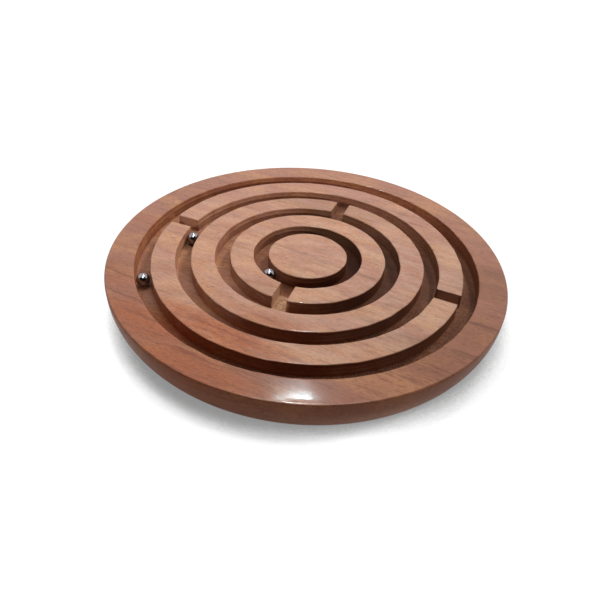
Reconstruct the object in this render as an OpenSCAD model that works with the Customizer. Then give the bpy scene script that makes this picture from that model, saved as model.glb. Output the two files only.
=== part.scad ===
// Round wooden ball maze: a turned board with ring tracks, gates between them and loose steel balls.
// The board is one piece of wood, drawn as its floor, rim, ring walls and centre, which meet face to face.
// Origin: centre of the underside. +Z points up and +X runs along the grain, through the outer gates.

/* [Board] */
// Diameter of the board
board_d = 150; // [140:1:200]
// Thickness of the board
board_t = 15; // [12:0.5:18]
// Radius of the curve that draws the side in towards the underside
side_curve_r = 18; // [16:0.5:40]
// Upright band between the top face and the side's curve
side_band_h = 2.3; // [1.8:0.1:5]
// Rounding of the rim's outer top edge
top_edge_r = 0.6; // [0.4:0.1:1.6]
// Rounding of the edge round the underside
base_edge_r = 0.8; // [0.3:0.1:1.5]

/* [Tracks] */
// Width of the rim outside the outermost track
rim_w = 10.3; // [8:0.1:13]
// Width of each ring wall between two tracks
wall_w = 8.9; // [6:0.1:11]
// How much wider a track is than a ball
track_play = 0.75; // [0.4:0.05:1.5]
// How far the top of a ball lies below the top face
ball_sink = 0.2; // [0.1:0.1:2]

/* [Gates] */
// How much wider a gate is than a ball
gate_play = 0.4; // [0.2:0.05:0.7]
// Direction of the outer wall's gate on the right, in degrees
right_gate_angle = -1; // [-20:1:20]
// Direction of the outer wall's gate on the left, in degrees
left_gate_angle = 181; // [160:1:200]
// Direction of the middle wall's gate, in degrees
middle_gate_angle = 92; // [60:1:120]
// Direction of the inner wall's gate, in degrees
inner_gate_angle = 273; // [250:1:300]

/* [Balls] */
// Diameter of a ball
ball_d = 5; // [4:0.1:6]
// Gap under a ball, so that it runs freely
ball_gap = 0.05; // [0.02:0.01:0.09]
// Direction of the ball in the outermost track, in degrees
outer_ball_angle = 219; // [0:1:359]
// Direction of the ball in the second track, in degrees
second_ball_angle = 189; // [0:1:359]
// Direction of the ball in the innermost track, in degrees
inner_ball_angle = 240; // [0:1:359]

/* [Hidden] */
$fn = 128;
WOOD = "#b58672";
STEEL = "#6f6f72";

// Tracks are counted from the outermost, which is 0, and so are the walls inside them
OUTER = 0;
SECOND = 1;
THIRD = 2;
INNERMOST = 3;
FULL_TURN = 360;

board_r = board_d / 2;
track_w = ball_d + track_play;
track_depth = ball_d + ball_sink;
gate_w = ball_d + gate_play;
track_pitch = track_w + wall_w;
floor_z = board_t - track_depth;
cut_over = 1;

// Centre of the side's curve, centre radius of the underside's rounding, and where the two touch
curve_z = board_t - side_band_h;
curve_centre_r = board_r - side_curve_r;
base_round_r = curve_centre_r
    + sqrt(pow(side_curve_r - base_edge_r, 2) - pow(curve_z - base_edge_r, 2));
touch_z = curve_z - (curve_z - base_edge_r) * side_curve_r / (side_curve_r - base_edge_r);

// Outer and middle radius of a track
function track_outer_r(i) = board_r - rim_w - i * track_pitch;
function track_r(i) = track_outer_r(i) - track_w / 2;

// Half section of the board before its tracks are cut, right of the axis
module board_section() {
    square([base_round_r, board_t]);
    translate([base_round_r, base_edge_r]) circle(r = base_edge_r);
    intersection() {
        translate([curve_centre_r, curve_z]) circle(r = side_curve_r);
        translate([0, touch_z]) square([board_r, curve_z - touch_z]);
    }
    translate([0, curve_z]) square([board_r, side_band_h - top_edge_r]);
    translate([0, board_t - top_edge_r]) square([board_r - top_edge_r, top_edge_r]);
    translate([board_r - top_edge_r, board_t - top_edge_r]) circle(r = top_edge_r);
}

// Straight cut through a wall, from the middle of the track outside it to the middle of the next
module gate_cut(wall, angle) {
    rotate([0, 0, angle])
        translate([track_r(wall + 1), -gate_w / 2, floor_z - cut_over])
            cube([track_pitch, gate_w, track_depth + 2 * cut_over]);
}

// Ring wall inside a track, from one gate round to the next one, standing on the board's floor
module gated_wall(wall, from_gate, to_gate) {
    color(WOOD) difference() {
        rotate([0, 0, from_gate])
            rotate_extrude(angle = to_gate - from_gate)
                translate([track_outer_r(wall + 1), floor_z]) square([wall_w, track_depth]);
        gate_cut(wall, from_gate);
        gate_cut(wall, to_gate);
    }
}

// A ball in the middle of a track, just above its floor
module track_ball(track, angle) {
    color(STEEL)
        rotate([0, 0, angle])
            translate([track_r(track), 0, floor_z + ball_gap + ball_d / 2])
                sphere(d = ball_d);
}

module base() {
    color(WOOD) rotate_extrude() intersection() {
        board_section();
        square([board_r, floor_z]);
    }
}

module rim() {
    color(WOOD) rotate_extrude() intersection() {
        board_section();
        translate([track_outer_r(OUTER), floor_z]) square([rim_w, track_depth]);
    }
}

module outer_wall_back() {
    gated_wall(OUTER, right_gate_angle, left_gate_angle);
}

module outer_wall_front() {
    gated_wall(OUTER, left_gate_angle, right_gate_angle + FULL_TURN);
}

module middle_wall() {
    gated_wall(SECOND, middle_gate_angle, middle_gate_angle + FULL_TURN);
}

module inner_wall() {
    gated_wall(THIRD, inner_gate_angle, inner_gate_angle + FULL_TURN);
}

module island() {
    color(WOOD)
        translate([0, 0, floor_z])
            cylinder(r = track_outer_r(INNERMOST) - track_w, h = track_depth);
}

module outer_ball() {
    track_ball(OUTER, outer_ball_angle);
}

module second_ball() {
    track_ball(SECOND, second_ball_angle);
}

module inner_ball() {
    track_ball(INNERMOST, inner_ball_angle);
}

base();
rim();
outer_wall_back();
outer_wall_front();
middle_wall();
inner_wall();
island();
outer_ball();
second_ball();
inner_ball();
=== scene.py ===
import math
from typing import NamedTuple, Optional

import bmesh
import bpy
import numpy as np
from mathutils import Matrix, Vector


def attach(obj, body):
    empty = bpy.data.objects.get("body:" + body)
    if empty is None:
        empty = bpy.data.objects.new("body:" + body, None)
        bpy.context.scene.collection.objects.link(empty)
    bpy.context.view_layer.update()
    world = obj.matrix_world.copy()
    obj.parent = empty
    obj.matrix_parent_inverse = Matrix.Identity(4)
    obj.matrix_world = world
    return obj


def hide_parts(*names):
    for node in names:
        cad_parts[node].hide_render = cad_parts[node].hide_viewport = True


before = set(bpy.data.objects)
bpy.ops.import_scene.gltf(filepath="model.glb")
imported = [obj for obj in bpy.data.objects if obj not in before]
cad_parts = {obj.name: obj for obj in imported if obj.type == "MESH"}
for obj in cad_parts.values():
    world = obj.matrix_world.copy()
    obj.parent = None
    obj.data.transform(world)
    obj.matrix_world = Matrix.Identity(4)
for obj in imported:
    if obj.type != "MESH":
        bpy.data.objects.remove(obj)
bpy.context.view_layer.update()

# Round wooden ball maze: one turned board with ring tracks and gates, and three loose steel balls.
# Lengths in the mesh code are millimetres, and become metres when a mesh is made.

MM = 0.001
random_draws = np.random.default_rng(11)


# Sizes read from the parts in model.glb
def node_points(node):
    """A node's corners in millimetres."""
    return np.array([corner.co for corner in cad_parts[node].data.vertices]) / MM


def node_radii(node):
    """Smallest and largest distance of a node's corners from the board's axis."""
    points = node_points(node)
    distances = np.hypot(points[:, 0], points[:, 1])
    return distances.min(), distances.max()


BOARD_NODES = ["base", "rim", "outer_wall_back", "outer_wall_front", "middle_wall", "inner_wall", "island"]
BALL_NODES = ["outer_ball", "second_ball", "inner_ball"]
TOP_Z = node_points("rim")[:, 2].max()
FLOOR_Z = node_points("base")[:, 2].max()
RIM_INNER_R, BOARD_R = node_radii("rim")
WALL_RADII = [node_radii(wall) for wall in ("outer_wall_back", "middle_wall", "inner_wall")]
ISLAND_R = node_radii("island")[1]

# The board's outer form
SIDE_CURVE_R = 18.0
SIDE_BAND_H = 2.3
TOP_EDGE_R = 0.6
BASE_EDGE_R = 0.8
UNDERSIDE_SHARES = [0.15, 0.4, 0.65, 0.9]

# Gates through each ring wall, in degrees from the grain's direction, and the wall whose gate was left torn
GATE_W = 5.4
WALL_GATES = [[-1, 181], [92], [273]]
TORN_WALL = 2

# Easing of the cut edges, the fillet at the foot of a track and the steps that each cutting pass left
EDGE_R = 0.24
FOOT_R = 0.25
PASS_STEP = 0.07
PASS_SHARES = [0.34, 0.67]
LIP_W = 0.3

# Handwork: edges that wander, waves on the top, mostly below its height, and waves on the track floors
EDGE_WANDER = 0.05
EDGE_WANDER_LENGTH = 7.0
TOP_WAVE = 0.012
TOP_WAVE_DROP = 1.5
TOP_WAVE_LENGTH = 13.0
FLOOR_WAVE = 0.05
FLOOR_WAVE_LENGTH = 3.0

# The torn gate: lumps that spill into the track outside and lean to one side, broken corners and crumbs
TORN_HEIGHT = 0.14
TORN_BASE = 0.8
TORN_LENGTH = 0.7
TORN_STRETCH = [0.3, 1, 1]
TORN_START = (0.3, 2.0)
TORN_EDGE = (-0.5, 0.3)
TORN_FADE = 0.4
TORN_SPILL = 2.6
SPILL_BEFORE = 1.0
SPILL_AFTER = 1.2
TORN_WIDENING = 0.9
TORN_LEAN = 1.0
CHIP_REACH = 1.5
CHIP_DEPTH = 0.55
CHIP_LENGTH = 2.2
CHIP_BASE = 0.6
CHIP_SWING = 0.6
GATE_SLACK = 0.05
CRUMBS = 14
CRUMB_LENGTHS = (0.35, 0.8)
CRUMB_WIDTHS = (0.2, 0.4)
CRUMB_BENDS = (0.02, 0.1)
CRUMB_HEIGHTS = (0.05, 0.15)
CRUMB_YAW = 0.5
CRUMB_PITCH = 0.2
CRUMB_TRAIL = 1.4
CRUMB_REACH = 0.7
CRUMB_INSET = 1.5
CRUMB_MARGIN = 0.4
CRUMB_TIP = 0.15
CRUMB_TAPER = 0.7
CRUMB_STATIONS = 6

# Fineness of the board's mesh
COLUMNS = 480
ARC_STEPS = 4
EDGE_STEPS = 7
SIDE_STEPS = 12
TOP_STEPS = 5
FLOOR_STEPS = 6
FACE_STEPS = 2
GATE_FLOOR_STEPS = 9
GATE_FACE_STEPS = 5
GATE_WINDOW = 26
MERGE_WITHIN = 2e-7

# View of the photograph: turned from the grain's direction and looking down at the top face
CAMERA_TURN = math.radians(20.5)
CAMERA_RISE = math.radians(34.25)
CAMERA_DISTANCE = 0.21797
CAMERA_PAN = 0.00804
CAMERA_TILT = -0.08082
CAMERA_ROLL = -0.07251
CAMERA_LENS = 33.915
CAMERA_CLIP = 0.01
SENSOR_W = 36.0

# White floor: size in metres, colour for light and where it is seen, and lift to white off and in the shadow
FLOOR_HALF = 3.0
FLOOR_DROP = -0.0002
FLOOR_COLOUR = (0.7, 0.7, 0.7, 1)
FLOOR_SEEN = (0.12, 0.12, 0.12, 1)
FLOOR_LIFT = 1.0
SHADOW_LIFT = 0.27

# The floor's shadow: azimuth, elevation and reach of hidden sky, and shares of open sky at both its ends
SHADOW_FROM = [(160, 35, 0.04), (60, 35, 0.0142)]
SHADOW_SAMPLES = 16
SHADOW_FULL = 0.325
SHADOW_GONE = 0.45

# The dark screen over the camera's side, which is part of a dome, in metres and degrees
FLAG_R = 0.6
FLAG_MIDDLE = -82
FLAG_HALF_TURN = 74
FLAG_FOOT = 4
FLAG_TOP = 90
FLAG_STEPS = 16
FLAG_COLOUR = (0.02, 0.02, 0.02, 1)

# Strength of the light from all round
WORLD_LEVEL = 0.56


class Lamp(NamedTuple):
    """A flat lamp: direction from the board in degrees, distance and size in metres, how much light it adds
    to the top, whether it lights matt surfaces and shows in glossy ones, and its colour."""

    name: str
    azimuth: float
    elevation: float
    distance: float
    size: float
    level: float
    matt: bool = True
    gloss: bool = False
    tint: tuple = (1.0, 1.0, 1.0)


LAMPS = [
    Lamp("key_box", 50, 42, 1.0, 0.15, 0.26),
    Lamp("right_box", 5, 45, 1.0, 0.15, 0.12),
    Lamp("back_box", 90, 45, 1.0, 0.15, 0.06),
    Lamp("near_lamp", 180, 68, 0.12, 0.05, 0.18),
    Lamp("glint_lamp", 90, 53.6, 1.0, 0.045, 0.064, matt=False, gloss=True, tint=(0.75, 0.95, 1.0)),
    Lamp("front_card", -100, 74, 0.5, 0.22, 0.2, matt=False, gloss=True),
    Lamp("back_card", 80, 75, 0.5, 0.24, 0.25, matt=False, gloss=True),
]
FRONT_LAMP = Lamp("front_lamp", -64, 18, 0.5, 0.06, 0.19)

# Screen before the front lamp, in metres. Its shadow ends at FRONT_EDGE, from the middle towards the lamp.
FRONT_EDGE = -0.03
SCREEN_DISTANCE = 0.2
SCREEN_HALF_W = 0.15
SCREEN_FOOT = 0.05


def linear(red, green, blue):
    """A shader colour from screen values of 0 to 255."""
    shares = [value / 255 for value in (red, green, blue)]
    return [s / 12.92 if s <= 0.04045 else ((s + 0.055) / 1.055) ** 2.4 for s in shares] + [1.0]


def toward(azimuth, elevation):
    """Direction from the board, in degrees, with azimuth 0 to the camera's right and 90 away from it."""
    turn = math.radians(azimuth) + CAMERA_TURN
    rise = math.radians(elevation)
    return Vector((math.cos(rise) * math.cos(turn), math.cos(rise) * math.sin(turn), math.sin(rise)))


def ripple(points, wavelength, waves=18):
    """Smooth seeded noise of about unit size at points in millimetres."""
    directions = random_draws.normal(size=(waves, 3))
    directions /= np.linalg.norm(directions, axis=1)[:, None]
    rates = 2 * math.pi / wavelength * random_draws.uniform(0.6, 1.4, waves)
    phases = random_draws.uniform(0, 2 * math.pi, waves)
    swings = np.sin(points @ (directions * rates[:, None]).T + phases)
    return swings.sum(axis=1) * math.sqrt(2 / waves)


def smooth(values, low, high):
    """A smooth run from 0 at low to 1 at high."""
    share = np.clip((values - low) / (high - low), 0, 1)
    return share * share * (3 - 2 * share)


# Half section of the board, from the middle of the underside out and over to the middle of the top
class Row(NamedTuple):
    """One ring of the board's mesh: place, outward and upward normal, gated wall, and how far it counts
    as cut wood, as an eased edge and as the outer side."""

    radius: float
    height: float
    out: float = 0.0
    up: float = 0.0
    wall: Optional[int] = None
    cut: float = 0.0
    lip: float = 0.0
    side: float = 0.0


def arc(centre_r, centre_z, radius, start, end, steps=ARC_STEPS):
    """Points of an arc in the half section, with angles in degrees from the outward direction."""
    angles = np.radians(np.linspace(start, end, steps))
    return [(centre_r + radius * math.cos(a), centre_z + radius * math.sin(a)) for a in angles]


def shell_rows():
    """Underside, rounded foot, curved side, upright band and rounded top edge."""
    curve_r = BOARD_R - SIDE_CURVE_R
    curve_z = TOP_Z - SIDE_BAND_H
    rise = curve_z - BASE_EDGE_R
    reach = math.sqrt((SIDE_CURVE_R - BASE_EDGE_R) ** 2 - rise ** 2)
    touch = -math.degrees(math.atan2(rise, reach))
    foot_r = curve_r + reach
    points = [(foot_r * share, 0.0) for share in UNDERSIDE_SHARES]
    points += arc(foot_r, BASE_EDGE_R, BASE_EDGE_R, -90, touch)
    points += arc(curve_r, curve_z, SIDE_CURVE_R, touch, 0, SIDE_STEPS)[1:]
    edge = arc(BOARD_R - TOP_EDGE_R, TOP_Z - TOP_EDGE_R, TOP_EDGE_R, 0, 90, EDGE_STEPS)
    rows = [Row(*point, side=1.0) for point in points]
    return rows + [Row(*point, side=share) for point, share in zip(edge, np.linspace(1, 0, EDGE_STEPS))]


def edge_rows(radius, side, wall):
    """One side of a track from its eased top edge to its foot. side is 1 where the wood faces outwards,
    else -1. The normals fade at the foot."""
    rows = []
    for angle in np.radians(np.linspace(90, 0, ARC_STEPS)):
        out, up = side * math.cos(angle), math.sin(angle)
        rows.append(Row(radius + EDGE_R * (out - side), TOP_Z + EDGE_R * (up - 1), out, up, wall, 0.0, 1.0))
    face_top = TOP_Z - EDGE_R
    face_foot = FLOOR_Z + FOOT_R
    levels = [face_top + (face_foot - face_top) * share for share in [0, *PASS_SHARES, 1]]
    for step, (high, low) in enumerate(zip(levels, levels[1:])):
        face_r = radius + side * PASS_STEP * step
        start = LIP_W if step == 0 else PASS_STEP
        for height in np.linspace(high - start, low, FACE_STEPS + 1):
            rows.append(Row(face_r, height, side, 0.0, wall, 1.0))
    foot_r = radius + side * (PASS_STEP * len(PASS_SHARES) + FOOT_R)
    for angle in np.radians(np.linspace(0, 90, ARC_STEPS))[1:]:
        out, down = side * math.cos(angle), math.sin(angle)
        rows.append(Row(foot_r - FOOT_R * out, FLOOR_Z + FOOT_R * (1 - down), out, 0.0, wall, 1.0))
    return rows


def floor_rows(start, end):
    """Track floor strictly between two feet."""
    return [Row(r, FLOOR_Z, cut=1.0) for r in np.linspace(start, end, FLOOR_STEPS + 2)[1:-1]]


def top_rows(start, end, wall=None):
    """Top face between two edges, with a narrow band along each, or up to the middle of the board."""
    inset = math.copysign(LIP_W, end - start)
    last = end - inset if end else end
    radii = np.linspace(start + inset, last, TOP_STEPS + 1)
    return [Row(r, TOP_Z, 0.0, 1.0, wall) for r in (radii if end else radii[:-1])]


def board_rows():
    rows = shell_rows()
    rows += top_rows(BOARD_R - TOP_EDGE_R, RIM_INNER_R + EDGE_R)
    rows += edge_rows(RIM_INNER_R, -1, None)
    for wall, (inner_r, outer_r) in enumerate(WALL_RADII):
        outer_side = edge_rows(outer_r, 1, wall)[::-1]
        rows += floor_rows(rows[-1].radius, outer_side[0].radius)
        rows += outer_side
        rows += top_rows(outer_r - EDGE_R, inner_r + EDGE_R, wall)
        rows += edge_rows(inner_r, -1, wall)
    island_side = edge_rows(ISLAND_R, 1, None)[::-1]
    rows += floor_rows(rows[-1].radius, island_side[0].radius)
    rows += island_side
    rows += top_rows(ISLAND_R - EDGE_R, 0)
    return rows


# Gates: the columns next to a gate's middle line are drawn together to make its floor, end faces and lips
class Station(NamedTuple):
    """One column beside a gate: distance from its middle, inset of the outline, share of the way down,
    and how far it counts as an eased edge."""

    distance: float
    inset: float
    down: float
    lip: float


def gate_stations():
    half = GATE_W / 2
    floor = [Station(q, EDGE_R, 1.0, 0.0) for q in np.linspace(0, half, GATE_FLOOR_STEPS)]
    lip_share = LIP_W / (TOP_Z - FLOOR_Z)
    face_shares = np.linspace(1, lip_share, GATE_FACE_STEPS + 1)[1:]
    face = [Station(half, EDGE_R, share, 0.0) for share in face_shares]
    lip = [
        Station(half + EDGE_R * (1 - math.sin(a)), EDGE_R * (1 - math.cos(a)), 0.0, 1.0)
        for a in np.radians(np.linspace(90, 0, ARC_STEPS))
    ]
    beside = [Station(half + EDGE_R + LIP_W, 0.0, 0.0, 0.0)]
    return floor + face + lip + beside


STATIONS = gate_stations()


def cut_gate(gate, row, floor_r, ring):
    """Moves one row's columns near a gate. floor_r is where the row lies on the gate's floor."""
    step = 360 / COLUMNS
    middle = round(gate / step)
    last = len(STATIONS) - 1
    lip_turn = math.degrees(math.asin(STATIONS[last].distance / row.radius))
    for offset in range(-GATE_WINDOW, GATE_WINDOW + 1):
        column = (middle + offset) % COLUMNS
        side = 1 if offset >= 0 else -1
        if abs(offset) > last:
            share = (abs(offset) - last) / (GATE_WINDOW - last)
            away = lip_turn + (GATE_WINDOW * step - lip_turn) * share
        else:
            place = STATIONS[abs(offset)]
            kept = 1 - place.down
            radius = (row.radius - place.inset * row.out) * kept + floor_r * place.down
            ring["radius"][column] = radius
            ring["height"][column] = (row.height - place.inset * row.up) * kept + FLOOR_Z * place.down
            away = math.degrees(math.asin(place.distance / radius))
            in_gate = place.distance <= GATE_W / 2
            ring["cut"][column] = max(row.cut, float(in_gate))
            ring["lip"][column] = 0.0 if in_gate and place.down else max(row.lip, place.lip)
        ring["turn"][column] = gate + side * away


def board_grid():
    """Points of the board's mesh, row by row, and how far each is cut wood, an edge and the outer side."""
    rows = board_rows()
    walls = [row.wall for row in rows]
    rings = []
    for index, row in enumerate(rows):
        ring = {
            "turn": np.arange(COLUMNS) * 360 / COLUMNS,
            "radius": np.full(COLUMNS, row.radius),
            "height": np.full(COLUMNS, row.height),
            "cut": np.full(COLUMNS, row.cut),
            "lip": np.full(COLUMNS, row.lip),
            "side": np.full(COLUMNS, row.side),
        }
        if row.wall is not None:
            first = walls.index(row.wall)
            last = len(walls) - 1 - walls[::-1].index(row.wall)
            across = (index - first) / (last - first)
            floor_r = rows[first].radius + (rows[last].radius - rows[first].radius) * across
            for gate in WALL_GATES[row.wall]:
                cut_gate(gate, row, floor_r, ring)
        rings.append(ring)
    turn = np.radians(np.concatenate([ring["turn"] for ring in rings]))
    radius = np.concatenate([ring["radius"] for ring in rings])
    height = np.concatenate([ring["height"] for ring in rings])
    points = np.stack([radius * np.cos(turn), radius * np.sin(turn), height], axis=1)
    points = np.vstack([points, [[0, 0, 0], [0, 0, TOP_Z]]])
    shares = {
        label: np.append(np.concatenate([ring[label] for ring in rings]), [0, 0])
        for label in ("cut", "lip", "side")
    }
    return points, shares, len(rows)


# Handwork on the board's points
def gate_place(points):
    """Distances along and across the torn gate from the board's axis."""
    turn = math.radians(WALL_GATES[TORN_WALL][0])
    along = points[:, 0] * math.cos(turn) + points[:, 1] * math.sin(turn)
    across = points[:, 1] * math.cos(turn) - points[:, 0] * math.sin(turn)
    return along, across


def torn_share(points):
    """How torn the wood is at each point: all through the torn gate, fading out in the track outside it."""
    inner_r, outer_r = WALL_RADII[TORN_WALL]
    along, across = gate_place(points)
    spill = smooth(along, outer_r - SPILL_BEFORE, outer_r + SPILL_AFTER)
    half = GATE_W / 2 + TORN_WIDENING * spill
    share = smooth(along - inner_r, *TORN_START)
    share *= smooth(outer_r - along, -TORN_SPILL, -TORN_FADE)
    share *= smooth(half - np.abs(across - TORN_LEAN * spill), *TORN_EDGE)
    return share * (points[:, 2] < TOP_Z - EDGE_R)


def work_by_hand(points, shares):
    """Small unevenness of hand cutting: wandering edges, waves, torn floor and broken corners."""
    heights = points[:, 2].copy()
    outwards = np.hypot(points[:, 0], points[:, 1])
    radial = points * [1, 1, 0] / np.maximum(outwards, 1e-6)[:, None]
    inside = outwards < BOARD_R - TOP_EDGE_R
    wander = EDGE_WANDER * ripple(points * [1, 1, 0], EDGE_WANDER_LENGTH)
    upright = (shares["lip"] > 0) | ((shares["cut"] > 0) & (heights > FLOOR_Z + FOOT_R))
    points = points + radial * (wander * upright * inside)[:, None]
    on_top = (heights > TOP_Z - EDGE_R) & inside
    points[:, 2] += on_top * TOP_WAVE * (ripple(points, TOP_WAVE_LENGTH) - TOP_WAVE_DROP)
    on_floor = (shares["cut"] > 0) & (heights < FLOOR_Z + FOOT_R / 2)
    points[:, 2] -= on_floor * FLOOR_WAVE * np.abs(ripple(points, FLOOR_WAVE_LENGTH))

    torn = torn_share(points)
    lumps = np.maximum(0, TORN_BASE + ripple(points * TORN_STRETCH, TORN_LENGTH))
    points[:, 2] += torn * on_floor * TORN_HEIGHT * lumps

    outer_r = WALL_RADII[TORN_WALL][1]
    along, across = gate_place(points)
    from_corner = np.hypot(along - outer_r, np.abs(across) - GATE_W / 2)
    breaks = np.maximum(0, CHIP_BASE + CHIP_SWING * ripple(points, CHIP_LENGTH))
    breaks *= smooth(-from_corner, -CHIP_REACH, 0)
    breaks *= (heights > FLOOR_Z + FOOT_R) & (np.abs(across) > GATE_W / 2 - GATE_SLACK)
    points -= radial * (CHIP_DEPTH * breaks)[:, None]
    return points, torn


def board_faces(row_count):
    """Quads between neighbouring rows, and fans round the two middle points, which come last."""
    index = np.arange(row_count * COLUMNS).reshape(row_count, COLUMNS)
    beside = np.roll(index, -1, axis=1)
    quads = np.stack([index[:-1], beside[:-1], beside[1:], index[1:]], axis=-1).reshape(-1, 4)
    under, over = row_count * COLUMNS, row_count * COLUMNS + 1
    fans = [(under, beside[0, c], index[0, c]) for c in range(COLUMNS)]
    fans += [(over, index[-1, c], beside[-1, c]) for c in range(COLUMNS)]
    return quads.tolist() + [[int(corner) for corner in fan] for fan in fans]


def add_piece(name, points, faces, material, body, attributes=None):
    """A smooth-shaded mesh piece from points in millimetres, riding on a body."""
    mesh = bpy.data.meshes.new(name)
    mesh.from_pydata((np.asarray(points) * MM).tolist(), [], faces)
    for label, values in (attributes or {}).items():
        layer = mesh.attributes.new(label, "FLOAT", "POINT")
        layer.data.foreach_set("value", np.asarray(values, np.float32))
    shaped = bmesh.new()
    shaped.from_mesh(mesh)
    bmesh.ops.remove_doubles(shaped, verts=shaped.verts, dist=MERGE_WITHIN)
    shaped.to_mesh(mesh)
    shaped.free()
    mesh.shade_smooth()
    mesh.materials.append(material)
    piece = bpy.data.objects.new(name, mesh)
    bpy.context.scene.collection.objects.link(piece)
    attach(piece, body)
    return piece


def make_board(material):
    points, shares, row_count = board_grid()
    points, torn = work_by_hand(points, shares)
    faces = board_faces(row_count)
    board = add_piece("board", points, faces, material, "board", {**shares, "torn": torn})
    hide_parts(*BOARD_NODES)


def crumb_mesh(length, width, bend):
    """A tapered crumb of wood with a three-sided section, lying along X and bent upwards."""
    points = []
    for share in np.linspace(-0.5, 0.5, CRUMB_STATIONS):
        fat = width * (CRUMB_TIP + (1 - CRUMB_TIP) * math.cos(math.pi * share) ** CRUMB_TAPER) / 2
        for angle in np.radians([90, 210, 330]):
            height = fat * math.sin(angle) + bend * share * share
            points.append((share * length, fat * math.cos(angle), height))
    end = len(points) - 3
    faces = [[0, 2, 1], [end, end + 1, end + 2]]
    for start in range(0, end, 3):
        for corner in range(3):
            beside = (corner + 1) % 3
            faces.append([start + corner, start + beside, start + 3 + beside, start + 3 + corner])
    return np.array(points), faces


def make_crumbs(material):
    """Crumbs that lie on the torn gate's floor, roughly along the grain and mostly at its outer end."""
    inner_r, outer_r = WALL_RADII[TORN_WALL]
    turn = math.radians(WALL_GATES[TORN_WALL][0])
    points = []
    faces = []
    for _ in range(CRUMBS):
        length = random_draws.uniform(*CRUMB_LENGTHS)
        width = random_draws.uniform(*CRUMB_WIDTHS)
        shape, sides = crumb_mesh(length, width, random_draws.uniform(*CRUMB_BENDS))
        yaw = random_draws.normal(0, CRUMB_YAW)
        pitch = random_draws.normal(0, CRUMB_PITCH)
        rotation = Matrix.Rotation(yaw, 3, "Z") @ Matrix.Rotation(pitch, 3, "Y")
        along = outer_r + TORN_SPILL * CRUMB_REACH - random_draws.exponential(CRUMB_TRAIL)
        along = max(along, inner_r + CRUMB_INSET)
        across = random_draws.uniform(-1, 1) * (GATE_W / 2 - length * CRUMB_MARGIN)
        across += TORN_LEAN * max(0.0, along - outer_r + SPILL_BEFORE)
        middle = [
            along * math.cos(turn) - across * math.sin(turn),
            along * math.sin(turn) + across * math.cos(turn),
            FLOOR_Z + random_draws.uniform(*CRUMB_HEIGHTS),
        ]
        faces += [[corner + len(points) for corner in side] for side in sides]
        points += (shape @ np.array(rotation).T + middle).tolist()
    shares = {label: np.ones(len(points)) for label in ("cut", "torn")}
    add_piece("torn_fibres", points, faces, material, "board", shares)


# Balls
BALL_CUTS = 24


def ball_mesh(radius):
    """Points and quads of a cube whose faces are swelled to a ball."""
    steps = np.tan(np.linspace(-math.pi / 4, math.pi / 4, BALL_CUTS + 1))
    points = []
    faces = []
    for axis in range(3):
        for sign in (-1, 1):
            start = len(points)
            for a in steps:
                for b in steps:
                    corner = np.roll([sign, a * sign, b], axis)
                    points.append(radius * corner / np.linalg.norm(corner))
            for i in range(BALL_CUTS):
                for j in range(BALL_CUTS):
                    corner = start + i * (BALL_CUTS + 1) + j
                    faces.append([corner, corner + BALL_CUTS + 1, corner + BALL_CUTS + 2, corner + 1])
    return np.array(points), faces


def make_ball(node, material):
    points = node_points(node)
    low, high = points.min(axis=0), points.max(axis=0)
    centre = (low + high) / 2
    radius = (high - low).max() / 2
    shape, faces = ball_mesh(radius)
    piece = add_piece(node + "_polished", shape + centre, faces, material, node)
    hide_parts(node)


# Wood colours, the last of them the whitish colour of a painted sheen
WOOD_LIGHT = linear(185, 126, 86)
WOOD_MAUVE = linear(171, 112, 87)
WOOD_BROWN = linear(152, 98, 72)
WOOD_ORANGE = linear(176, 93, 45)
WOOD_DULL = linear(142, 89, 56)
WOOD_DARK = linear(104, 58, 38)
WOOD_RED = linear(132, 62, 38)
WOOD_PORE = linear(60, 32, 20)
WOOD_RAW = linear(200, 158, 124)
WOOD_SHEEN = linear(250, 227, 202)

# How far the grain wanders and bends, in millimetres, and the scales of its wandering
GRAIN_WAVER = 2.2
GRAIN_WAVER_SCALE = 0.14
GRAIN_DRIFT = 2.5
GRAIN_DRIFT_SCALE = 0.014
GRAIN_BEND = 0.0006


class Grain(NamedTuple):
    """A noise drawn out along the grain: how many times, its scale per millimetre, detail and roughness."""

    stretch: float
    scale: float
    detail: float
    rough: float


PATCH_GRAIN = Grain(3.0, 0.11, 3.0, 0.6)
BAND_GRAIN = Grain(4.0, 0.3, 4.0, 0.65)
STREAK_GRAIN = Grain(10.0, 0.9, 3.0, 0.6)
FIBRE_GRAIN = Grain(6.0, 3.4, 3.0, 0.7)
FIGURE_GRAIN = Grain(1.3, 0.4, 3.0, 0.65)
PORE_GRAIN = Grain(3.0, 0.12, 2.0, 0.5)
CLOUD_GRAIN = Grain(3.0, 0.2, 3.0, 0.6)
PORE_STRETCH = 7.0
PORE_SCALE = 0.9
SPECK_SCALE = 2.2

# Where in its noise each kind of figure starts and is full, and how strongly it shows in the grain
PATCH_RANGE = (0.4, 0.6)
BAND_RANGE = (0.44, 0.7)
BAND_SHARE = 0.4
FIGURE_RANGE = (0.5, 0.72)
FIGURE_SHARE = 0.3
STREAK_RANGE = (0.48, 0.72)
STREAK_SHARE = 0.46
FIBRE_RANGE = (0.44, 0.7)
FIBRE_SHARE = 0.7
PORE_RANGE = (0.05, 0.2)
PORE_SHARE = 0.75
PORE_LEAST = 0.15

# Mottling of streaks, patches and marks: where in its noise it starts and is full, and the least left
MOTTLE_RANGE = (0.3, 0.6)
RAGGED_LEAST = 0.4
BLOTCH_LEAST = 0.6
FIGURED_LEAST = 0.75
RIM_SHADE_LEAST = 0.6


class Run(NamedTuple):
    """A smooth run of a value: its low and high ends, and what they become."""

    low: float
    high: float
    to_low: float
    to_high: float
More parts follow.
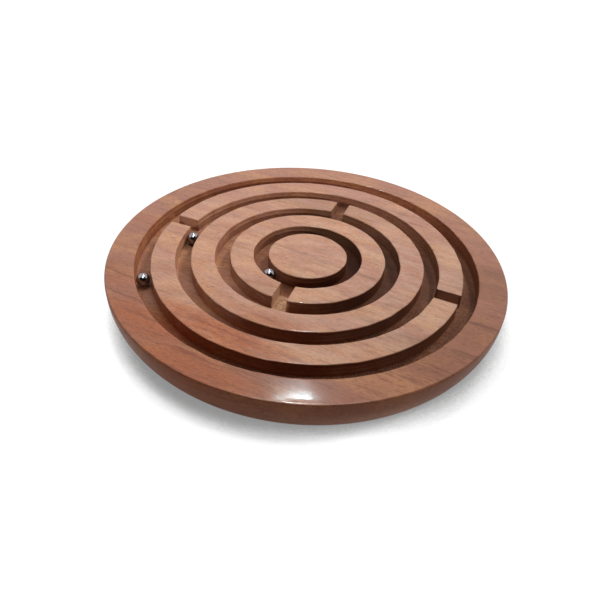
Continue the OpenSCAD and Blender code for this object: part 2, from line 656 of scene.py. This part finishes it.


# Painted shade on the rim, less so at the back, and a painted sheen in clouds on the tops inside the rim
RIM_SHADE_FRONT = 0.3
RIM_SHADE_BACK = 0.16
RIM_SHADE_RANGE = (15.0, 60.0)
RIM_SHADE_SLOPE = 0.3
RIM_SHADE_ON_ORANGE = 0.5
RIM_FADE = 1.0
SHEEN_SHARE = 0.1
SHEEN_TO_BACK = Run(10.0, 60.0, 1.0, 0.45)
SHEEN_ALONG = Run(-40.0, 40.0, 0.9, 1.3)
CLOUDS = Run(0.3, 0.7, 0.5, 1.5)

# Marks of the cutter in the tracks, darker on end grain, and painted shade on one side and towards the
# middle
STAIN_SHARE = 0.06
END_GRAIN_WALL = 0.35
END_GRAIN_FLOOR = 0.1
# Painted shade in the tracks on one side of the board, and in the innermost track
ONE_SIDE_SHADE_SHARE = 0.5
ONE_SIDE_SHADE_RANGE = (-0.2, 0.9)
ONE_SIDE_SHADE_SLOPE = 0.6
INNERMOST_SHADE_SHARE = 0.45
# Painted light: the outer wall's gates keep only this share of the cutter's staining and the painted shade
OUTER_GATE_STAIN_AND_SHADE = 0.2
GATE_FADE = 0.8
# Painted shade, darkest in the inner tracks on one side of the board
DEEP_SHADE_INNER = 0.78
DEEP_SHADE_OUTER = 0.05
DEEP_SHADE_RANGE = (-0.5, 0.6)
DEEP_SHADE_SLOPE = 0.7
FOOT_BAND = (0.3, 1.2)
SPECKLED_RANGE = (30.0, 62.0)
SPECK_RANGE = (0.45, 0.65)
SPECK_LEAST = 0.1
SPECK_SHARE = 0.7
RAW_RANGE = (0.3, 0.7)
RAW_LEAST = 0.75
LIP_RANGE = (0.4, 0.7)
LIP_SHARE = 0.3

# Painted shade on the outer side, lighter at one end of the grain and darker at the other
SIDE_SHADE_RANGE = (-0.5, 0.95)
SIDE_SHADE_LOW = 0.24
SIDE_SHADE_HIGH = 0.62

# Relief of the wood and of its varnish, and the varnish, which is thin on edges and thinnest on the side
RELIEF_DEPTH = 0.00006
WOOD_RELIEF = 0.45
VARNISH_RELIEF = 0.05
STREAK_RELIEF = 0.5
FIBRE_RELIEF = 0.4
SPECK_RELIEF = 1.5
VARNISH_ROUGHNESS = 0.12
VARNISH_IOR = 1.4
VARNISH_ON_CUT = 0.05
VARNISH_ON_LIP = 0.8
VARNISH_ON_SIDE = 0.05
TOP_ROUGHNESS = 0.45
CUT_ROUGHNESS = 0.6
WOOD_SPECULAR = 0.05

# Steel: its colours, and how rough its smears and scratches are
STEEL_LIGHT = linear(158, 156, 158)
STEEL_DARK = linear(134, 131, 133)
SMEAR_SCALE = 0.8
SMEAR_ROUGHNESS = Run(0.35, 0.7, 0.03, 0.1)
SMEAR_RANGE = (0.3, 0.7)
SCRATCH_SCALE = 9.0
SCRATCH_ROUGHNESS = Run(0.5, 0.8, 0.0, 0.05)

# Marked streaks and patches: middle along and across the grain, half length and width, slope and strength
DARK_STREAKS = [
    (10, -1.5, 32, 1.5, -0.1, 0.55),
    (42, -27, 26, 2.0, -0.06, 0.45),
    (69, -11.5, 8, 1.4, 0.0, 0.7),
    (60, -38, 9, 0.7, -0.1, 0.85),
    (66, -28, 8, 1.8, 0.0, 0.5),
    (54, -46.5, 7, 1.0, 0.0, 0.6),
    (22, -22.5, 9, 1.4, 0.0, 0.4),
    (46, -30, 8, 3.0, 0.1, 0.35),
    (-56, -42, 12, 0.7, -0.06, 0.5),
    (-44, -52, 14, 0.8, -0.08, 0.45),
    (-34, -58, 12, 0.9, -0.08, 0.45),
    (-51.5, -14, 1.6, 0.5, 0.0, 0.75),
    (24, 47, 3.0, 3.4, 0.0, 0.3),
]
DULL_PATCHES = [
    (-6, 38, 40, 9, 0.05, 0.7),
    (67, 14, 16, 14, 0.0, 0.9),
    (62, -36, 24, 14, -0.06, 0.7),
    (69, -16, 10, 12, 0.0, 0.7),
    (-66, 18, 16, 8, 0.0, 0.4),
    (-8, -28, 20, 6, -0.05, 0.5),
    (-24, -8, 9, 7, 0.0, 0.4),
    (-60, -42, 10, 9, 0.0, 0.5),
]
ORANGE_PATCHES = [
    (-12, -54, 40, 9, -0.05, 1.0),
    (-34, -60, 26, 9, -0.1, 1.0),
    (-10, -71, 34, 8, 0.0, 1.0),
    (6, -41, 26, 5, -0.04, 0.5),
    (-68, -8, 10, 5, -0.05, 0.4),
    (-58, -44, 14, 9, -0.1, 0.5),
]
RED_STREAKS = [
    (0, -41, 11, 1.0, -0.02, 0.7),
    (-4, -52.5, 14, 0.9, -0.03, 0.75),
    (-13, -66, 11, 1.3, -0.03, 0.75),
]


# Shader building
class Shade:
    """A material's node tree with short calls for its nodes."""

    def __init__(self, name):
        self.material = bpy.data.materials.new(name)
        self.material.use_nodes = True
        self.tree = self.material.node_tree
        self.tree.nodes.clear()

    def add(self, kind, inputs=None, **settings):
        """A node with settings, and inputs by name or number: each a socket to link or a value."""
        node = self.tree.nodes.new(kind)
        for label, value in settings.items():
            setattr(node, label, value)
        for label, value in (inputs or {}).items():
            if isinstance(value, bpy.types.NodeSocket):
                self.tree.links.new(value, node.inputs[label])
            else:
                node.inputs[label].default_value = value
        return node

    def calc(self, operation, first, second=0.0):
        return self.add("ShaderNodeMath", {0: first, 1: second}, operation=operation).outputs[0]

    def times(self, first, *others):
        for other in others:
            first = self.calc("MULTIPLY", first, other)
        return first

    def plus(self, first, *others):
        for other in others:
            first = self.calc("ADD", first, other)
        return first

    def minus(self, first, second):
        return self.calc("SUBTRACT", first, second)

    def over(self, first, second):
        return self.calc("DIVIDE", first, second)

    def square(self, value):
        return self.calc("POWER", value, 2.0)

    def spread(self, value, low, high, to_low=0.0, to_high=1.0):
        """A value's smooth run from low to high, mapped to another range."""
        inputs = {"Value": value, "From Min": low, "From Max": high, "To Min": to_low, "To Max": to_high}
        return self.add("ShaderNodeMapRange", inputs, interpolation_type="SMOOTHSTEP").outputs[0]

    def mix(self, share, first, second):
        """Two colours mixed by a share."""
        return self.add("ShaderNodeMix", {0: share, 6: first, 7: second}, data_type="RGBA").outputs[2]

    def noise(self, vector, scale, detail=3.0, rough=0.5):
        inputs = {"Vector": vector, "Scale": scale, "Detail": detail, "Roughness": rough}
        return self.add("ShaderNodeTexNoise", inputs).outputs["Fac"]

    def share(self, attribute):
        return self.add("ShaderNodeAttribute", attribute_name=attribute).outputs["Fac"]

    def place(self):
        """Coordinates of the piece in millimetres."""
        metres = self.add("ShaderNodeTexCoord").outputs["Object"]
        return self.add("ShaderNodeVectorMath", {0: metres, "Scale": 1 / MM}, operation="SCALE").outputs[0]

    def surface(self, shader):
        self.add("ShaderNodeOutputMaterial", {"Surface": shader.outputs[0]})
        return self.material


def streak_share(shade, x, y, streaks):
    """How strongly the strongest of some soft-ended streaks shows."""
    total = None
    for middle_x, middle_y, half_length, half_width, slope, strength in streaks:
        along = shade.minus(x, middle_x)
        line = shade.plus(shade.times(along, slope), middle_y)
        across = shade.over(shade.minus(y, line), half_width)
        along = shade.over(along, half_length)
        reach = shade.plus(shade.square(along), shade.square(across))
        share = shade.spread(reach, 0.0, 1.0, strength, 0.0)
        total = share if total is None else shade.calc("MAXIMUM", total, share)
    return total


class Wood(Shade):
    """Straight-grained brown hardwood, with its grain along X. Each step adds its marks, and some painted
    shade and sheen, to the tone.
    """

    def __init__(self):
        super().__init__("varnished_wood")
        self.spot = self.place()
        self.x, self.y, self.z = self.add("ShaderNodeSeparateXYZ", {0: self.spot}).outputs
        self.cut, self.lip, self.side, self.torn = [self.share(s) for s in ("cut", "lip", "side", "torn")]
        self.out = self.calc("SQRT", self.plus(self.square(self.x), self.square(self.y)))

        # The grain wanders a little and bends on one side of the board
        waver = self.minus(self.noise(self.spot, GRAIN_WAVER_SCALE, 2.0), 0.5)
        drift = self.minus(self.noise(self.spot, GRAIN_DRIFT_SCALE, 1.0), 0.5)
        bend = self.times(self.square(self.calc("MAXIMUM", self.x, 0.0)), GRAIN_BEND)
        self.near_y = self.plus(self.y, self.times(waver, GRAIN_WAVER))
        self.grain_y = self.plus(self.y, bend, self.times(drift, GRAIN_DRIFT))

        self.patches = self.grain(PATCH_GRAIN)
        self.bands = self.grain(BAND_GRAIN)
        self.streaks = self.grain(STREAK_GRAIN)
        self.fibres = self.grain(FIBRE_GRAIN)
        self.figure = self.grain(FIGURE_GRAIN)
        self.specks = self.noise(self.spot, SPECK_SCALE, 2.0, 0.7)
        dashes = {"Vector": self.along_grain(PORE_STRETCH), "Scale": PORE_SCALE}
        dashes = self.add("ShaderNodeTexVoronoi", dashes).outputs["Distance"]
        dense = self.spread(self.grain(PORE_GRAIN), *PATCH_RANGE, PORE_LEAST, 1.0)
        self.pores = self.times(self.spread(dashes, *PORE_RANGE, 1.0, 0.0), dense)

        blotches = self.spread(self.bands, *MOTTLE_RANGE, BLOTCH_LEAST, 1.0)
        self.blotched = self.times(blotches, self.spread(self.figure, *MOTTLE_RANGE, FIGURED_LEAST, 1.0))
        self.orange = self.times(self.streaked(ORANGE_PATCHES), self.blotched)

        # Where the tracks' floors and the feet of their walls lie, and where the cutter tore the grain
        foot_low, foot_high = FOOT_BAND
        self.low = self.spread(self.z, FLOOR_Z + foot_low, FLOOR_Z + foot_high, 1.0, 0.0)
        crosswise = self.minus(self.x, self.y)
        self.speckled = self.times(self.cut, self.low, self.spread(crosswise, *SPECKLED_RANGE))

    def along_grain(self, stretch):
        """Coordinates drawn out along the grain."""
        shorter = self.over(self.x, stretch)
        return self.add("ShaderNodeCombineXYZ", {0: shorter, 1: self.grain_y, 2: self.z}).outputs[0]

    def grain(self, kind):
        return self.noise(self.along_grain(kind.stretch), kind.scale, kind.detail, kind.rough)

    def streaked(self, streaks):
        return streak_share(self, self.x, self.near_y, streaks)

    def plain_tone(self):
        """The grain's own colours."""
        ragged = self.spread(self.streaks, *MOTTLE_RANGE, RAGGED_LEAST, 1.0)
        tone = self.mix(self.spread(self.patches, *PATCH_RANGE), WOOD_MAUVE, WOOD_LIGHT)
        tone = self.mix(self.orange, tone, WOOD_ORANGE)
        tone = self.mix(self.times(self.streaked(DULL_PATCHES), self.blotched), tone, WOOD_DULL)
        tone = self.mix(self.spread(self.bands, *BAND_RANGE, 0.0, BAND_SHARE), tone, WOOD_BROWN)
        tone = self.mix(self.spread(self.figure, *FIGURE_RANGE, 0.0, FIGURE_SHARE), tone, WOOD_BROWN)
        tone = self.mix(self.spread(self.streaks, *STREAK_RANGE, 0.0, STREAK_SHARE), tone, WOOD_DARK)
        tone = self.mix(self.spread(self.fibres, *FIBRE_RANGE, 0.0, FIBRE_SHARE), tone, WOOD_DARK)
        tone = self.mix(self.times(self.streaked(DARK_STREAKS), ragged), tone, WOOD_DARK)
        tone = self.mix(self.times(self.streaked(RED_STREAKS), ragged), tone, WOOD_RED)
        return self.mix(self.times(self.pores, PORE_SHARE), tone, WOOD_PORE)

    def rim_shade_and_sheen(self, tone):
        """Painted shade darkens the rim, less so at the back, and a painted sheen lies in clouds on the tops
        inside it.
        """
        to_rim = (RIM_INNER_R - RIM_FADE, RIM_INNER_R)
        away = self.minus(self.y, self.times(self.x, RIM_SHADE_SLOPE))
        darkest = self.spread(away, *RIM_SHADE_RANGE, RIM_SHADE_FRONT, RIM_SHADE_BACK)
        rim_shade = self.spread(self.out, *to_rim, 0.0, darkest)
        rim_shade = self.times(rim_shade, self.spread(self.orange, 0.0, 1.0, 1.0, RIM_SHADE_ON_ORANGE))
        rim_shade = self.times(rim_shade, self.spread(self.patches, *MOTTLE_RANGE, 1.0, RIM_SHADE_LEAST))
        tone = self.mix(rim_shade, tone, WOOD_DARK)

        clouds = self.spread(self.grain(CLOUD_GRAIN), *CLOUDS)
        painted_sheen = self.times(self.spread(self.out, *to_rim, SHEEN_SHARE, 0.0), clouds)
        painted_sheen = self.times(painted_sheen, self.spread(self.y, *SHEEN_TO_BACK))
        painted_sheen = self.times(painted_sheen, self.spread(self.x, *SHEEN_ALONG))
        return self.mix(self.times(painted_sheen, self.minus(1.0, self.orange)), tone, WOOD_SHEEN)

    def stained_and_shaded(self, tone):
        """The cutter's staining, and painted shade on one side and towards the middle; the outer gates are
        left paler as painted light.
        """
        end_grain = self.over(self.square(self.x), self.square(self.out))
        darkened = self.spread(self.low, 0.0, 1.0, END_GRAIN_WALL, END_GRAIN_FLOOR)
        one_side_shade = self.over(self.minus(self.x, self.times(self.y, ONE_SIDE_SHADE_SLOPE)), self.out)
        stain_and_shade = self.plus(
            STAIN_SHARE,
            self.times(end_grain, darkened),
            self.spread(one_side_shade, *ONE_SIDE_SHADE_RANGE, 0.0, ONE_SIDE_SHADE_SHARE),
            self.spread(self.out, ISLAND_R, WALL_RADII[2][1], INNERMOST_SHADE_SHARE, 0.0),
        )
        inner_r, outer_r = WALL_RADII[0]
        in_gate = self.times(
            self.spread(self.out, inner_r, inner_r + GATE_FADE),
            self.spread(self.out, outer_r - GATE_FADE, outer_r, 1.0, 0.0),
        )
        stain_and_shade = self.times(stain_and_shade, self.spread(in_gate, 0.0, 1.0, 1.0, OUTER_GATE_STAIN_AND_SHADE))
        tone = self.mix(self.times(self.cut, stain_and_shade), tone, WOOD_DARK)

        behind = self.over(self.plus(self.x, self.times(self.y, DEEP_SHADE_SLOPE)), self.out)
        deep_shade = self.spread(self.out, ISLAND_R, RIM_INNER_R, DEEP_SHADE_INNER, DEEP_SHADE_OUTER)
        deep_shade = self.times(self.spread(behind, *DEEP_SHADE_RANGE), deep_shade)
        return self.mix(self.times(self.cut, deep_shade), tone, WOOD_PORE)

    def shaded_side_and_cuts(self, tone):
        """Painted shade on the outer side, specks of torn grain on track floors, the torn gate, and edges
        with wear.
        """
        sideways = self.over(self.x, self.out)
        side_shade = self.spread(sideways, *SIDE_SHADE_RANGE, SIDE_SHADE_LOW, SIDE_SHADE_HIGH)
        tone = self.mix(self.times(self.side, side_shade), tone, WOOD_DARK)
        specks = self.spread(self.specks, *SPECK_RANGE, SPECK_LEAST, SPECK_SHARE)
        tone = self.mix(self.times(self.speckled, specks), tone, WOOD_PORE)
        raw = self.spread(self.fibres, *RAW_RANGE, 1.0, RAW_LEAST)
        tone = self.mix(self.times(self.torn, raw), tone, WOOD_RAW)
        on_lip = self.spread(self.specks, *LIP_RANGE, 0.0, LIP_SHARE)
        return self.mix(self.times(self.lip, on_lip), tone, WOOD_DARK)

    def bump(self, height, strength):
        inputs = {"Height": height, "Strength": strength, "Distance": RELIEF_DEPTH}
        return self.add("ShaderNodeBump", inputs).outputs[0]

    def relief(self):
        """Height of the surface: streaks and fibres stand up, pores lie deep, and torn grain is rough."""
        relief = self.minus(self.times(self.streaks, STREAK_RELIEF), self.pores)
        relief = self.plus(relief, self.times(self.fibres, FIBRE_RELIEF))
        return self.plus(relief, self.times(self.specks, self.times(self.speckled, SPECK_RELIEF)))

    def varnish(self):
        """How thick the varnish is."""
        bare = self.calc("MAXIMUM", self.times(self.cut, 1 - VARNISH_ON_CUT), self.torn)
        return self.times(
            self.minus(1.0, bare),
            self.spread(self.lip, 0.0, 1.0, 1.0, VARNISH_ON_LIP),
            self.spread(self.side, 0.0, 1.0, 1.0, VARNISH_ON_SIDE),
        )


def wood_material():
    """The board's wood under a glossy varnish."""
    shade = Wood()
    tone = shade.shaded_side_and_cuts(shade.stained_and_shaded(shade.rim_shade_and_sheen(shade.plain_tone())))
    relief = shade.relief()
    shader = shade.add(
        "ShaderNodeBsdfPrincipled",
        {
            "Base Color": tone,
            "Roughness": shade.spread(shade.cut, 0.0, 1.0, TOP_ROUGHNESS, CUT_ROUGHNESS),
            "Normal": shade.bump(relief, WOOD_RELIEF),
            "Specular IOR Level": WOOD_SPECULAR,
            "Coat Weight": shade.varnish(),
            "Coat Roughness": VARNISH_ROUGHNESS,
            "Coat IOR": VARNISH_IOR,
            "Coat Normal": shade.bump(relief, VARNISH_RELIEF),
        },
    )
    return shade.surface(shader)


def steel_material():
    """Polished steel with faint smears and fine scratches."""
    shade = Shade("polished_steel")
    place = shade.place()
    smears = shade.noise(place, SMEAR_SCALE, 2.0)
    scratches = shade.noise(place, SCRATCH_SCALE, 3.0, 0.7)
    rough = shade.spread(smears, *SMEAR_ROUGHNESS)
    rough = shade.plus(rough, shade.spread(scratches, *SCRATCH_ROUGHNESS))
    shader = shade.add(
        "ShaderNodeBsdfPrincipled",
        {
            "Base Color": shade.mix(shade.spread(smears, *SMEAR_RANGE), STEEL_LIGHT, STEEL_DARK),
            "Metallic": 1.0,
            "Roughness": rough,
        },
    )
    return shade.surface(shader)


# Camera, floor and light
def add_camera():
    aim = Vector((0, 0, TOP_Z * MM))
    back = toward(-90, math.degrees(CAMERA_RISE))
    right = Vector((math.cos(CAMERA_TURN), math.sin(CAMERA_TURN), 0))
    turn = Matrix([right, back.cross(right), back]).transposed()
    turn = turn @ Matrix.Rotation(CAMERA_PAN, 3, "Y") @ Matrix.Rotation(CAMERA_TILT, 3, "X")
    turn = turn @ Matrix.Rotation(-CAMERA_ROLL, 3, "Z")
    data = bpy.data.cameras.new("camera")
    data.lens = CAMERA_LENS
    data.sensor_width = SENSOR_W
    data.clip_start = CAMERA_CLIP
    camera = bpy.data.objects.new("camera", data)
    camera.matrix_world = Matrix.Translation(aim + back * CAMERA_DISTANCE) @ turn.to_4x4()
    bpy.context.scene.collection.objects.link(camera)
    bpy.context.scene.camera = camera


def add_stage(name, points, faces, material):
    """A part of the studio, which isn't part of the object."""
    mesh = bpy.data.meshes.new(name)
    mesh.from_pydata(points, [], faces)
    mesh.materials.append(material)
    made = bpy.data.objects.new(name, mesh)
    bpy.context.scene.collection.objects.link(made)
    return made


def add_floor():
    """White floor that keeps the object's shadow, and is lifted to white where it is seen away from it."""
    shade = Shade("white_floor")
    rays = shade.add("ShaderNodeLightPath").outputs
    seen = shade.calc("MAXIMUM", rays["Is Camera Ray"], rays["Is Glossy Ray"])
    seen = shade.calc("MAXIMUM", seen, rays["Is Transmission Ray"])
    diffuse = shade.add("ShaderNodeBsdfDiffuse", {"Color": shade.mix(seen, FLOOR_COLOUR, FLOOR_SEEN)})
    near = 1.0
    for azimuth, elevation, reach in SHADOW_FROM:
        lit_from = shade.add("ShaderNodeCombineXYZ", dict(enumerate(toward(azimuth, elevation)))).outputs[0]
        open_sky = {"Distance": reach, "Normal": lit_from}
        open_sky = shade.add("ShaderNodeAmbientOcclusion", open_sky, samples=SHADOW_SAMPLES).outputs["AO"]
        near = shade.calc("MINIMUM", near, open_sky)
    lift = shade.times(seen, shade.spread(near, SHADOW_FULL, SHADOW_GONE, SHADOW_LIFT, FLOOR_LIFT))
    lift = shade.add("ShaderNodeEmission", {"Strength": lift})
    both = shade.add("ShaderNodeAddShader", {0: diffuse.outputs[0], 1: lift.outputs[0]})
    corners = [(x, y, FLOOR_DROP) for x, y in ((-1, -1), (1, -1), (1, 1), (-1, 1))]
    corners = [(x * FLOOR_HALF, y * FLOOR_HALF, z) for x, y, z in corners]
    add_stage("floor", corners, [(0, 1, 2, 3)], shade.surface(both))


def dark_cloth():
    """Black cloth of the screens."""
    shade = Shade("dark_cloth")
    return shade.surface(shade.add("ShaderNodeBsdfDiffuse", {"Color": FLAG_COLOUR}))


def add_flag(cloth):
    """Dark curved screen round the camera's side, which keeps the light behind and above the board."""
    turns = np.linspace(FLAG_MIDDLE - FLAG_HALF_TURN, FLAG_MIDDLE + FLAG_HALF_TURN, FLAG_STEPS + 1)
    rises = np.linspace(FLAG_FOOT, FLAG_TOP, FLAG_STEPS + 1)
    points = [toward(turn, rise) * FLAG_R for rise in rises for turn in turns]
    across = FLAG_STEPS + 1
    corners = [row * across + column for row in range(FLAG_STEPS) for column in range(FLAG_STEPS)]
    faces = [(c, c + 1, c + across + 1, c + across) for c in corners]
    add_stage("flag", points, faces, cloth).visible_camera = False


def add_screen(cloth):
    """Dark upright screen between the front lamp and the front of the board."""
    azimuth = FRONT_LAMP.azimuth
    reach = FRONT_LAMP.distance * math.cos(math.radians(FRONT_LAMP.elevation))
    rise = FRONT_LAMP.distance * math.sin(math.radians(FRONT_LAMP.elevation))
    top = TOP_Z * MM + rise * (SCREEN_DISTANCE - FRONT_EDGE) / (reach - FRONT_EDGE)
    middle = toward(azimuth, 0) * SCREEN_DISTANCE
    across = toward(azimuth + 90, 0) * SCREEN_HALF_W
    points = [middle + across * side + Vector((0, 0, z)) for z in (SCREEN_FOOT, top) for side in (-1, 1)]
    add_stage("screen", points, [(0, 1, 3, 2)], cloth).visible_camera = False


def add_lamp(lamp):
    """A flat square lamp that faces the board."""
    data = bpy.data.lights.new(lamp.name, "AREA")
    data.size = lamp.size
    data.color = lamp.tint
    data.energy = 4 * math.pi * lamp.distance ** 2 * lamp.level / math.sin(math.radians(lamp.elevation))
    made = bpy.data.objects.new(lamp.name, data)
    direction = toward(lamp.azimuth, lamp.elevation)
    made.location = Vector((0, 0, TOP_Z * MM)) + direction * lamp.distance
    made.rotation_mode = "QUATERNION"
    made.rotation_quaternion = direction.to_track_quat("Z", "Y")
    made.visible_camera = False
    made.visible_diffuse = lamp.matt
    made.visible_glossy = lamp.gloss
    bpy.context.scene.collection.objects.link(made)


def add_world():
    """Even dim light all round, which looks white where it is seen."""
    world = bpy.data.worlds.new("studio")
    world.use_nodes = True
    tree = world.node_tree
    rays = tree.nodes.new("ShaderNodeLightPath").outputs
    seen = rays["Is Camera Ray"]
    for kind in ("Is Glossy Ray", "Is Transmission Ray"):
        either = tree.nodes.new("ShaderNodeMath")
        either.operation = "MAXIMUM"
        tree.links.new(seen, either.inputs[0])
        tree.links.new(rays[kind], either.inputs[1])
        seen = either.outputs[0]
    level = tree.nodes.new("ShaderNodeMapRange")
    level.inputs["To Min"].default_value = WORLD_LEVEL
    level.inputs["To Max"].default_value = 1.0
    tree.links.new(seen, level.inputs["Value"])
    background = tree.nodes["Background"]
    background.inputs["Color"].default_value = (1, 1, 1, 1)
    tree.links.new(level.outputs[0], background.inputs["Strength"])
    bpy.context.scene.world = world


wood = wood_material()
make_board(wood)
make_crumbs(wood)
steel = steel_material()
for ball_node in BALL_NODES:
    make_ball(ball_node, steel)
add_camera()
add_floor()
cloth = dark_cloth()
add_flag(cloth)
add_world()
for studio_lamp in [*LAMPS, FRONT_LAMP]:
    add_lamp(studio_lamp)
add_screen(cloth)
bpy.context.scene.view_settings.view_transform = "Standard"
